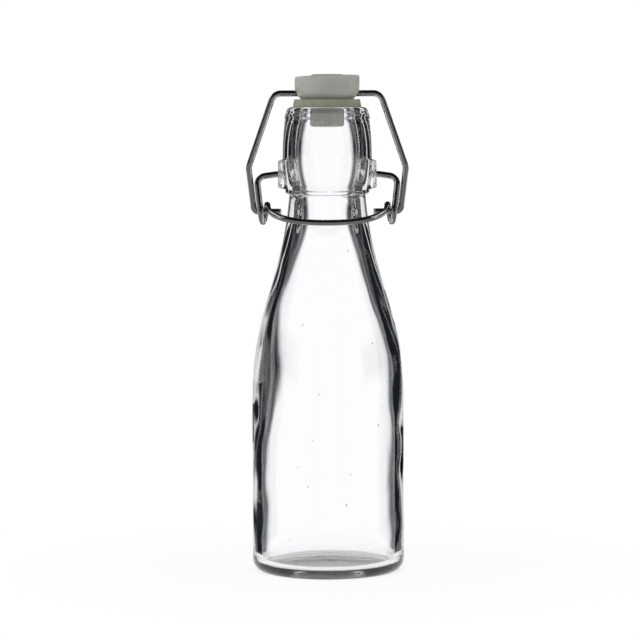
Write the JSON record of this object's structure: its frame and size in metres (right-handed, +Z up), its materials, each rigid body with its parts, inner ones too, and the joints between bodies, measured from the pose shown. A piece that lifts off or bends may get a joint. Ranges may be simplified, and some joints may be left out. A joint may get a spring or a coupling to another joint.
{
  "type": "flip-top bottle",
  "caption": "Clear glass flip-top bottle with a long sloping shoulder, closed by a milky plastic stopper and soft washer on a hinged wire bail and an over-centre wire lever.",
  "frame": {"origin": "centre of the base, on the surface that the bottle stands on", "axes": "+Z up the bottle's axis, the wire pivots along X, the lever's finger loop towards -Y"},
  "size_m": [0.0608, 0.0571, 0.1863],
  "materials": {
    "clear_glass": "clear, smooth pressed and blown glass",
    "bright_wire": "bright drawn steel wire",
    "milky_plastic": "satin moulded, slightly translucent",
    "pale_rubber": "matt, slightly translucent"
  },
  "bodies": {
    "bottle": {"glass_bottle": "clear_glass"},
    "lever": {"lever_wire": "bright_wire"},
    "bail": {"bail_wire": "bright_wire"},
    "stopper": {"stopper": "milky_plastic", "sealing_washer": "pale_rubber"}
  },
  "joints": [
    {"name": "lever_lift", "type": "hinge", "parent": "bottle", "child": "lever", "pos_m": [0, 0, 0.149], "axis": [1, 0, 0], "range_deg": [-240, 0]},
    {"name": "bail_swing", "type": "hinge", "parent": "lever", "child": "bail", "pos_m": [0, 0.0012, 0.135], "axis": [1, 0, 0], "range_deg": [0, 168]},
    {"name": "stopper_tilt", "type": "hinge", "parent": "bail", "child": "stopper", "pos_m": [0, 0, 0.1791], "axis": [1, 0, 0], "range_deg": [0, 72]}
  ],
  "couplings": [
    {"joint": "bail_swing", "follows": "lever_lift", "ratio": -0.7},
    {"joint": "stopper_tilt", "follows": "lever_lift", "ratio": -0.3}
  ]
}
